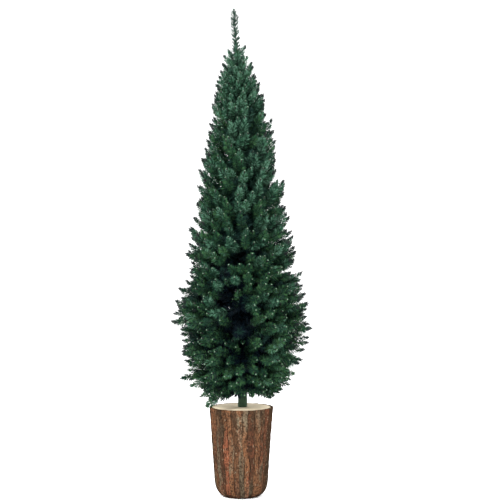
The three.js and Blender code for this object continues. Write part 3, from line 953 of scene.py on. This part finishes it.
def bark_relief(u, v):
    """Depth in millimetres of the bark's surface below its highest plates, and shares of its colours, among
    them painted shade in its furrows and cracks and down the log's sides.
    """
    rng = np.random.default_rng(BARK_SEED)

    def noise(name, across=u):
        return relief_noise(name, across, v, rng)

    def level(name):
        at_foot, more = BARK_SHARES[name]
        return at_foot + more * v

    def near(distance, edge):
        return smooth((edge[0] - distance) / (edge[0] - edge[1]))

    drifted = u + noise("drift")
    place = drifted * PLATES + noise("wander")
    to_edge = np.abs(place - np.round(place)) * 2
    strength = np.clip(FURROW_STRENGTH + noise("furrows"), FURROW_LEAST, 1)
    relief = {"furrows": near(to_edge, FURROW_EDGE) * strength}
    to_crack = np.abs(noise("crack_lines", drifted))
    relief["cracks"] = near(to_crack, CRACK_EDGE) * np.clip(CRACK_STRENGTH + noise("cracks"), 0, 1)
    relief["plates"] = noise("plates", drifted)
    relief["flakes"] = np.tanh(FLAKE_SHARPNESS * noise("flakes"))
    relief["fibres"] = noise("fibres")
    depth = sum(deep * relief[name] for name, deep in BARK_DEPTHS.items()) + BARK_MIDDLE_DEPTH
    plate = (np.floor(place) % PLATES) / PLATES
    rust = level("rust") + noise("rust_plates", plate) + noise("rust_streaks", drifted) + noise("rust_areas")
    grey = level("grey") + noise("grey_plates", plate) + noise("grey_streaks", drifted)
    # the bark's own tone, darker on some plates and in spots
    shade = level("shade") + noise("shade_plates", plate) + noise("shade_spots")
    # painted shade down the log's left and right sides
    side_shade = sum(
        np.exp(-((off_azimuth(np.degrees(2 * math.pi * u), azimuth) / half_width) ** 2))
        for azimuth, half_width in SIDE_SHADE_STRIPS
    )
    shade += side_shade * (SIDE_SHADE_STRENGTH + noise("side_shade_noise"))
    # painted shade in the furrows and cracks
    dark = np.clip(FURROW_SHADE * relief["furrows"] + CRACK_SHADE * relief["cracks"], 0, 1)
    return depth, {"furrow": dark, "rust": rust, "grey": grey, "shade": np.clip(shade, 0, 1)}


def log_profile(z):
    """Radius of the log's outline at a height."""
    side_share = (z - LOG_ROUNDING_HEIGHT) / (LOG_HEIGHT - LOG_ROUNDING_HEIGHT)
    if side_share >= 0:
        return lerp(LOG_SIDE_FOOT_RADIUS, LOG_TOP_RADIUS, side_share)
    turn = math.acos(1 - z / LOG_ROUNDING_HEIGHT)
    return lerp(LOG_FLAT_RADIUS, LOG_SIDE_FOOT_RADIUS, math.sin(turn) ** LOG_ROUNDING_POWER)


def make_bark():
    angles, u = circle(BARK_COLUMNS)
    rng = np.random.default_rng(BARK_EDGE_SEED)
    turns = np.linspace(0, math.pi / 2, BARK_FOOT_ROWS + 1)[:-1]
    low = LOG_ROUNDING_HEIGHT * (1 - np.cos(turns))
    high = np.linspace(LOG_ROUNDING_HEIGHT, LOG_HEIGHT, BARK_ROWS - BARK_FOOT_ROWS)
    foot_edge = RAGGED_HEIGHT + relief_noise("foot_edge", u, 0, rng)
    top_edge = relief_noise("top_edge", u, 0, rng)
    rings = []
    values = {"furrow": [], "rust": [], "grey": [], "shade": []}
    for z in np.concatenate([low, high]):
        depth, shares = bark_relief(u, z / LOG_HEIGHT)
        bare = 1 - smooth((z - foot_edge) / BARE_EDGE)
        begun = min(1, z / RELIEF_BEGINS)
        radius = log_profile(z) + (BARK_STANDS_OUT * (1 - bare) - depth) * begun
        raised = top_edge * smooth((z - LOG_HEIGHT + TOP_EDGE_HEIGHT) / TOP_EDGE_HEIGHT)
        rings.append(ring_points(radius, z + raised, angles))
        shares["furrow"] = np.maximum(shares["furrow"], BARE_DARK * bare)
        for key, numbers in shares.items():
            values[key].append(numbers)
    recess = LOG_TOP_RADIUS - BARK_THICKNESS
    outer = np.linalg.norm(rings[-1][:, :2], axis=1)
    recess_z = LOG_HEIGHT - FACE_THICKNESS - FIT_GAP
    socket = POLE_RADIUS + FIT_GAP
    closing = (
        (np.maximum(outer - RIM_INSET, recess + RECESS_EDGE[0]), LOG_HEIGHT + top_edge + RIM_RISE),
        (recess + RECESS_EDGE[1], LOG_HEIGHT + RECESS_RAGGED * top_edge),
        (recess, recess_z),
        (socket, recess_z),
        (socket, LOG_HEIGHT - SOCKET_DEPTH - FIT_GAP),
    )
    rings += [ring_points(radius, z, angles) for radius, z in closing]
    for key in values:
        values[key] += [np.full_like(u, INSIDE_SHARE)] * len(closing)
    bark = round_piece("bark", np.array(rings), bark_material())
    add_values(bark, values)
    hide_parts("log_bark")


def make_sawn_face():
    angles, u = circle(FACE_SIDES)
    rng = np.random.default_rng(FACE_SEED)
    outer = LOG_TOP_RADIUS - BARK_THICKNESS - FIT_GAP
    inner = POLE_RADIUS + FIT_GAP
    foot_z = LOG_HEIGHT - FACE_THICKNESS
    inwards, down = FACE_BEVEL
    below = ((inner, foot_z), (outer, foot_z), (outer, LOG_HEIGHT - down))
    rings = [ring_points(radius, z, angles) for radius, z in below]
    rim_shades = [1] * len(rings)
    flat = np.linspace(outer - FACE_RIM, inner + FACE_HOLE_EDGE, FACE_RINGS)
    for radius in (outer - inwards, *flat, inner):
        marks = relief_noise("face_marks", u, radius / outer, rng)
        drop = FACE_RIM_DROP if radius > outer - FACE_RIM else 0
        rings.append(ring_points(radius, LOG_HEIGHT - drop + marks, angles))
        # painted shade along the rim beside the bark
        rim_shades.append(1 - changed(outer - radius, RIM_SHADE))
    starts = np.arange(len(rings)) * FACE_SIDES
    quads = quads_between(starts, np.roll(starts, -1), FACE_SIDES)
    face = new_piece("sawn_face", rings, [quads], sawn_material())
    add_values(face, {"rim": np.repeat(rim_shades, FACE_SIDES)})
    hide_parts("log_face")


def make_pole():
    angles, u = circle(POLE_SIDES)
    rng = np.random.default_rng(FILM_SEED)
    bare_z, film_z = (LOG_HEIGHT + above for above in FILM_FOOT)
    buried = [LOG_HEIGHT - SOCKET_DEPTH, LOG_HEIGHT - POLE_BURIED_RING, bare_z]
    low = np.arange(film_z, POLE_RINGS_Z, POLE_RINGS[0])
    high = np.arange(POLE_RINGS_Z, POLE_TOP_Z, POLE_RINGS[1])
    rings = []
    lit = []
    for z in np.concatenate([buried, low, high, [POLE_TOP_Z]]):
        wrap = (u + z / FILM_PITCH) % 1
        fall = smooth((wrap - FILM_RIDGE_SHARE) / (1 - FILM_RIDGE_SHARE))
        ridge = FILM_RIDGE * (smooth(wrap / FILM_RIDGE_SHARE) - fall)
        rough = relief_noise("film", u, z / TREE_HEIGHT, rng)
        gathered = 1 - changed(z, FILM_GATHERED_CHANGE)
        film = FILM_THICKNESS + FILM_GATHERED * gathered + ridge + rough
        wound = z >= film_z
        ring = ring_points(pole_radius(z) - POLE_BELOW + film * wound, z, angles)
        ring[:, 0] += FILM_ASIDE * gathered * wound
        rings.append(ring)
        # painted light reflected from the sawn face
        lit.append(1 - changed(z - LOG_HEIGHT, POLE_FOOT_LIT))
    pole = round_piece("wrapped_pole", leaned(np.array(rings)), pole_material())
    add_values(pole, {"lit": np.repeat(lit, POLE_SIDES)})
    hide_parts("pole")


def grow_crown(rng):
    """The curves of the boughs, the outer twigs and the inner ones."""
    boughs, outer, inner = [], [], []
    for column in range(COLUMNS):
        for k, space in enumerate(column_spaces(column)):
            seed = SEED + COLUMN_SEED_STEP * column + BRANCH_SEED_STEP * k
            bough, outer_twigs, inner_twigs = branch_growth(space, seed)
            boughs.append(bough)
            outer += outer_twigs
            inner += inner_twigs
    outer += [low_twig(np.array(tip, float)) for tip in LOW_TIPS]
    outer += [top_twig(order, rng) for order in range(TOP_TWIGS)]
    return np.array(boughs), np.array(outer), np.array(inner)


def deal_green(z, rng):
    """The green of a spray at a height: pale ones at the top as painted light, dark ones at the bottom as
    painted shade.
    """
    share = float(np.clip(crown_share(z), 0, 1))
    shares = {"pale": PALE_SHARE * share**PALE_POWER}
    for kind, (low, high, reached) in GREEN_SHARES.items():
        shares[kind] = lerp(low, high, changed(share, (0, reached)))
    draw = rng.uniform()
    for kind, part in shares.items():
        if draw < part:
            return kind
        draw -= part
    return "green"


def crown_brush(curves, start, stop, density, sizes, rng):
    """Needles of the first size, and of the second at the crown's top."""
    at_top = curves[:, 3, 2] > TOP_LOW_Z
    parts = []
    for chosen, size in zip((~at_top, at_top), sizes):
        needles, which, to_end, turn = brush(curves[chosen], start, stop, density, rng, size)
        parts.append((needles, np.flatnonzero(chosen)[which], to_end, turn))
    return [np.concatenate(values) for values in zip(*parts)]


def mixed_shades(greens, which, to_end, turn, rng):
    """The green of each needle: its spray's, a lighter one in some streaks as painted glints, and a darker
    one in others as painted shade.
    """
    along = (to_end / STREAK_LENGTH).astype(int)
    around = (turn / (2 * math.pi) % 1 * STREAKS_AROUND).astype(int)
    draw = rng.uniform(0, 1, (len(greens), along.max() + 1, STREAKS_AROUND))[which, along, around]
    shades = greens[which]
    for kind in GREENS:
        same = greens[which] == kind
        shades[same & (draw < LIGHTER_SHARE)] = LIGHTER[kind]
        shades[same & (draw > 1 - DARKER_SHARE)] = DARKER[kind]
    return shades


def make_outer_needles(outer, nodes, rng):
    greens = np.array([deal_green(curve[3][2], rng) for curve in outer])
    needles, which, to_end, turn = crown_brush(outer, OUTER_LENGTH, 0, OUTER_DENSITY, NEEDLE_SIZES, rng)
    # needles in the painted light of a spray's end
    in_lit_tip = to_end + rng.normal(0, TIP_ZONE_SPREAD, len(to_end)) < TIP_ZONE
    shades = mixed_shades(greens, which, to_end, turn, rng)
    x, y, z = outer[:, 3].T
    sideways = (np.abs(x) > END_SIDEWAYS * np.abs(y)) & (z > END_LOW_Z)
    at_end = (to_end < END_ZONE) & sideways[which]
    shades[at_end] = "end"
    needle_piece("needles_ends", needles[at_end], END_COLOUR, nodes)
    for kind, green in GREENS.items():
        for part, in_zone in (("tips", in_lit_tip), ("sides", ~in_lit_tip)):
            # painted light on the tips and painted shade on the sides
            colour = tuple(value * ZONE_PAINTED_LIGHT_AND_SHADE[part] for value in green)
            needle_piece(f"needles_{kind}_{part}", needles[(shades == kind) & in_zone], colour, nodes)


def make_deep_needles(boughs, outer, inner, nodes, rng):
    curves = {"outer": outer, "inner": inner, "boughs": boughs}
    deep = []
    for name, stretch in DEEP_STRETCHES.items():
        deep.append(crown_brush(curves[name], *stretch, DEEP_NEEDLE_SIZES, rng)[0])
    for low, high, density, size in DEEP_POLE:
        pole = np.array([straight(np.array([0, 0, low]), np.array([0, 0, high]))])
        deep.append(brush(pole, TREE_HEIGHT, 0, density, rng, size)[0])
    deep = np.concatenate(deep)
    x, y, z = deep[:, 0].T
    reach = np.array([crown_reach(height) for height in z])
    outside = (np.hypot(x, y) > DEEP_OUTER_SHARE * reach) & (z < DEEP_OUTER_Z)
    # painted shade on the inner needles: lighter nearer the crown's outside and higher up
    needle_piece("needles_deep_outer", deep[outside], DEEP_OUTER_SHADE_GREEN, nodes)
    foot = 0
    for part, (top, green) in DEEP_SHADE_GREENS.items():
        chosen = ~outside & (z >= foot) & (z < top)
        needle_piece(f"needles_deep_{part}", deep[chosen], green, nodes)
        foot = top


def make_tip_ends(curves):
    """The dark sleeve on each outer wire's end and the pale cut end in it."""
    end, heading = on_each(curves, 1)
    stubs = np.stack(straight(end, end + heading * SLEEVE_LENGTH), axis=1)
    tube_piece("tip_sleeves", stubs, SLEEVE_RADII, mottled_material("tip_sleeve"), sides=6, rings=3)
    cuts = np.stack(straight(*(end + heading * (SLEEVE_LENGTH + past) for past in CUT_PLACE)), axis=1)
    tube_piece("tip_cuts", cuts, (CUT_RADIUS, CUT_RADIUS), mottled_material("tip_cut"), sides=6, rings=2)


def make_crown():
    rng = np.random.default_rng(SEED)
    boughs, outer, inner = grow_crown(rng)
    branch_nodes = [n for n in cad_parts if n.startswith("branch_")]
    make_outer_needles(outer, branch_nodes, rng)
    make_deep_needles(boughs, outer, inner, branch_nodes, rng)
    wire = mottled_material("wire")
    tube_piece("outer_twigs", outer, (WIRE_RADIUS, WIRE_END_RADIUS), wire, sides=4, rings=6)
    tube_piece("inner_twigs", inner, (WIRE_RADIUS, WIRE_END_RADIUS), wire, sides=4, rings=4)
    tube_piece("boughs", boughs, (BOUGH_RADIUS, WIRE_RADIUS), wire, sides=6, rings=8)
    make_tip_ends(outer)


def make_leader():
    rng = np.random.default_rng(LEADER_SEED)
    points = [[aside, 0, lerp(LEADER_FOOT_Z, LEADER_END_Z, share)] for aside, share in LEADER_WIRE]
    curve = np.array([points], float)
    tufts = LEADER_WHORLS * LEADER_TUFTS
    count = tufts * LEADER_TUFT_NEEDLES
    tuft = np.arange(count) // LEADER_TUFT_NEEDLES
    whorl = tuft // LEADER_TUFTS

    def strayed(by_tuft, by_needle):
        return rng.uniform(-by_tuft, by_tuft, tufts)[tuft], rng.uniform(-by_needle, by_needle, count)

    rise = sum(strayed(LEADER_TUFT_STRAY, LEADER_TUFT_RISE))
    t = np.clip((whorl + LEADER_FIRST_WHORL + rise) / LEADER_WHORLS, 0, 1)
    root, heading = on_curves(curve, np.zeros(count, int), t)
    nearness = smooth((t - 1 + LEADER_TIP) / LEADER_TIP)
    tilt = lerp(*LEADER_TILT, nearness) + rng.uniform(-LEADER_TILT_SPREAD, LEADER_TILT_SPREAD, count)
    length = lerp(*LEADER_NEEDLE_LENGTHS, nearness) * rng.uniform(*LEADER_LENGTHS, count)
    length[::LEADER_TUFT_NEEDLES] *= LEADER_SHORT
    width = np.full(count, LEADER_NEEDLE_WIDTH)
    tuft_stray, needle_stray = strayed(LEADER_TUFT_STRAY, LEADER_TUFT_TURN)
    turn = (tuft + tuft_stray) * 2 * math.pi / LEADER_TUFTS + whorl * GOLDEN_ANGLE + needle_stray
    roll = rng.uniform(-ROLL_SPREAD, ROLL_SPREAD, count)
    needles = needle_points(root, heading, turn, np.radians(tilt), length, width, roll)
    is_dark = rng.uniform(0, 1, tufts)[tuft] < LEADER_DARK_SHARE
    for part, chosen in (("light", ~is_dark), ("dark", is_dark)):
        needle_piece(f"leader_needles_{part}", needles[chosen], LEADER_GREENS[part], ["leader"])
    wire = mottled_material("leader_wire")
    tube_piece("leader_wire", curve, (LEADER_FOOT_RADIUS, WIRE_RADIUS), wire, sides=6, rings=10)


def make_floor():
    points = ring_points(FLOOR_RADIUS, FLOOR_Z, circle(FLOOR_SIDES)[0])
    mesh = bpy.data.meshes.new("floor")
    mesh.from_pydata([tuple(p * MM) for p in points], [], [list(range(FLOOR_SIDES))])
    material, _ = principled("floor", *SURFACES["floor"])
    mesh.materials.append(material)
    new_object("floor", mesh)


def make_light():
    world = bpy.data.worlds.new("studio")
    world.use_nodes = True
    background = world.node_tree.nodes["Background"]
    background.inputs["Color"].default_value = (1, 1, 1, 1)
    background.inputs["Strength"].default_value = SKY_STRENGTH
    bpy.context.scene.world = world
    for name, (place, target_height, size, power) in LIGHTS.items():
        data = bpy.data.lights.new(name, "AREA")
        data.size = size
        data.energy = power
        light = new_object(name, data)
        light.location = place
        towards = Vector((0, 0, target_height)) - Vector(place)
        light.rotation_euler = towards.to_track_quat("-Z", "Y").to_euler()
    bpy.context.scene.view_settings.view_transform = "Standard"


def make_camera():
    data = bpy.data.cameras.new("camera")
    data.sensor_width = SENSOR_WIDTH
    data.lens = SENSOR_WIDTH * FOCAL_PIXELS / PHOTO_PIXELS
    camera = new_object("camera", data)
    camera.location = CAMERA_PLACE
    camera.rotation_euler = (math.pi / 2, 0, 0)
    bpy.context.scene.camera = camera


make_camera()
make_light()
make_floor()
make_bark()
make_sawn_face()
make_pole()
make_leader()
make_crown()
